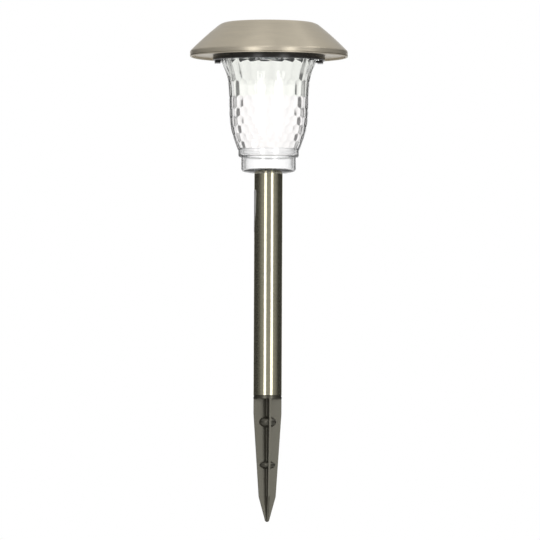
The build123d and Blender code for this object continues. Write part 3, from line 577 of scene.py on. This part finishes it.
# Front edge of the film: its angle at each share of the height from the top down
LABEL_FRONT = (
    (0.0, 197.0), (0.08, 199.9), (0.3, 198.0), (0.55, 196.0), (0.7, 188.0), (0.85, 182.0), (1.0, 178.0),
)
LABEL_ROWS = 41
LABEL_COLUMNS = 25


def label_film():
    """Blank film with a ragged, tapering front edge, wrapped part of the way round the pole."""
    bottom, top = span("pole_label")
    share = np.linspace(0, 1, LABEL_ROWS)
    front = np.radians(np.interp(share, *np.array(LABEL_FRONT).T))
    back = radians(LABEL_BACK_ANGLE)
    across = np.linspace(0, 1, LABEL_COLUMNS)
    loop = np.concatenate([across, across[::-1]])
    inner, outer = LABEL_RADII
    radius = np.repeat([outer, inner], LABEL_COLUMNS)
    rows = [ring(radius, back + (edge - back) * loop, top + (bottom - top) * part)
            for part, edge in zip(share, front)]
    index = np.arange(len(rows) * len(loop)).reshape(len(rows), len(loop))
    faces = [(a, d, c, b) for a, b, c, d in bands(index)]
    for ends, flip in ((index[0], False), (index[-1], True)):
        for i in range(LABEL_COLUMNS - 1):
            face = (ends[i], ends[i + 1], ends[-2 - i], ends[-1 - i])
            faces.append(face[::-1] if flip else face)
    thing = new_mesh("label_film", np.array(rows) * MM, faces)
    smooth(thing)
    return thing


def stand_in(thing, name, body, mat):
    """Puts a better-shaped piece in the place of a CAD node of a body."""
    dress(thing, mat)
    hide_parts(name)
    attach(thing, body)


# CAD nodes that have a stand-in
REPLACED = ("lens", "lens_collar", "pole_label")

stand_in(lens_shell(), "lens", "lens", lens_plastic("clear_plastic"))
stand_in(collar(), "lens_collar", "lens", LOOKS["lens_collar"])
stand_in(label_film(), "pole_label", "pole", LOOKS["pole_label"])

for name, thing in NODES.items():
    if name not in REPLACED:
        dress(thing, LOOKS[SAME.get(name, name)])


# ---------------------------------------------------------------- stage
# Soft lamps: name, azimuth from the camera's side, height, (width, height) and watts
LAMPS = (
    ("left_lamp", -23.0, -0.02, (0.42, 1.19), 5.4),
    ("right_lamp", 31.0, -0.02, (0.42, 1.19), 5.4),
    ("high_left_lamp", -5.0, 1.3, (0.5, 0.5), 2.2),
    ("high_right_lamp", 66.0, 1.3, (0.5, 0.5), 2.9),
)
LAMP_DISTANCE = 1.6
LAMP_AIM_HEIGHT = 0.2
# Brightness of the studio's walls by direction from the camera's side, as seen in gloss and through glass
GLOSS_WALLS = (
    (-180, 1.1), (-163, 1.1), (-158, 0.08), (-133, 0.055), (-102, 0.037), (-90, 0.05), (-79, 0.083),
    (-69, 0.13), (-59, 0.23), (-41, 0.33), (0, 0.32), (41, 0.34), (59, 0.27), (69, 0.2), (79, 0.12),
    (90, 0.03), (115, 0.035), (133, 0.06), (158, 0.09), (163, 1.1), (180, 1.1),
)
GLASS_WALLS = (
    (-180, 1.16), (-176, 1.06), (-170, 0.88), (-168.5, 0.5), (-167, 0.4), (-166, 0.05), (-153, 0.08),
    (-147, 0.8), (-130, 1.0), (130, 1.0), (147, 0.8), (153, 0.08), (166, 0.05), (167, 0.4), (168.5, 0.5),
    (170, 0.88), (176, 1.06), (180, 1.16),
)
# Brightness overhead, and below as seen in gloss; each comes in between two values of a direction's z
OVERHEAD_LEVEL = 0.74
OVERHEAD_FADE = (0.2, 0.4)
BELOW_LEVEL = 0.8
BELOW_FADE = (-0.08, -0.2)
# Brightness met by light that is neither mirrored nor let through
PLAIN_LEVEL = 0.58


def camera_side(azimuth, distance, height):
    """Point at an azimuth measured from the camera's own direction, to its right."""
    angle = radians(CAMERA_AZIMUTH + azimuth)
    return Vector((distance * sin(angle), -distance * cos(angle), height))


def floor():
    """Plain pale disc well below the stake."""
    angles = np.linspace(0, 2 * pi, FLOOR_SIDES, endpoint=False)
    thing = new_mesh("floor", ring(FLOOR_RADIUS, angles, FLOOR_HEIGHT), [range(FLOOR_SIDES)])
    dress(thing, material("floor", FLOOR_GREY, 0.9)[0])


def soft_lamp(name, azimuth, height, size, watts):
    """Soft lamp facing the object; size is its (width, height)."""
    light = bpy.data.lights.new(name, "AREA")
    light.shape = "RECTANGLE"
    light.size, light.size_y = size
    light.energy = watts
    lamp = bpy.data.objects.new(name, light)
    lamp.location = camera_side(azimuth, LAMP_DISTANCE, height)
    aim = Vector((0, 0, LAMP_AIM_HEIGHT)) - lamp.location
    lamp.rotation_euler = aim.to_track_quat("-Z", "Y").to_euler()
    lamp.visible_camera = False
    bpy.context.scene.collection.objects.link(lamp)


def wall_stops(walls):
    """Ramp stops, once round, from (direction in degrees, brightness) pairs."""
    return [(direction / 360 + 0.5, level) for direction, level in walls]


def studio():
    """World: white to the camera, a plain soft room to gloss and glass, plain light to the rest."""
    world = bpy.data.worlds.new("studio")
    bpy.context.scene.world = world
    world.use_nodes = True
    tree = Tree(world.node_tree)
    path = tree.add("LightPath").outputs
    turn = tree.add("VectorRotate", rotation_type="Z_AXIS")
    turn.inputs["Angle"].default_value = radians(-CAMERA_AZIMUTH)
    tree.feed(turn.inputs["Vector"], tree.add("TexCoord").outputs["Generated"])
    x, y, z = tree.axes(turn.outputs[0])
    azimuth = tree.math("ARCTAN2", x, tree.math("MULTIPLY", y, -1.0))
    around = tree.math("ADD", tree.math("DIVIDE", azimuth, 2 * pi), 0.5)
    gloss = tree.ramp(around, wall_stops(GLOSS_WALLS))
    glass = tree.ramp(around, wall_stops(GLASS_WALLS))
    walls = tree.mix(path["Is Transmission Ray"], gloss, glass)
    roofed = tree.mix(tree.ease(z, *OVERHEAD_FADE), walls, OVERHEAD_LEVEL)
    below = tree.math("MULTIPLY", tree.ease(z, *BELOW_FADE), path["Is Glossy Ray"])
    room = tree.mix(below, roofed, BELOW_LEVEL)
    shiny = tree.math("MAXIMUM", path["Is Glossy Ray"], path["Is Transmission Ray"])
    light = tree.mix(shiny, PLAIN_LEVEL, room)
    seen = tree.mix(path["Is Camera Ray"], light, 1.0)
    tree.feed(world.node_tree.nodes["Background"].inputs["Color"], seen)


def camera():
    """Camera at the viewing angle of the picture, a long way off and looking slightly upwards."""
    data = bpy.data.cameras.new("camera")
    data.sensor_width = SENSOR_WIDTH_MM
    data.lens = FOCAL_LENGTH_MM
    data.clip_end = CAMERA_RANGE
    thing = bpy.data.objects.new("camera", data)
    right = Vector((cos(radians(CAMERA_AZIMUTH)), sin(radians(CAMERA_AZIMUTH)), 0))
    aim = Vector((0, 0, CAMERA_AIM_HEIGHT)) + right * CAMERA_AIM_RIGHT
    rise = radians(CAMERA_ELEVATION)
    height = CAMERA_AIM_HEIGHT + CAMERA_DISTANCE * sin(rise)
    spot = camera_side(0.0, CAMERA_DISTANCE * cos(rise), height)
    facing = (aim - spot).to_track_quat("-Z", "Y").to_matrix().to_4x4()
    roll = Matrix.Rotation(radians(CAMERA_ROLL), 4, "Z")
    thing.matrix_world = Matrix.Translation(spot) @ facing @ roll
    bpy.context.scene.collection.objects.link(thing)
    bpy.context.scene.camera = thing


floor()
for settings in LAMPS:
    soft_lamp(*settings)
studio()
camera()
bpy.context.scene.view_settings.view_transform = "Standard"
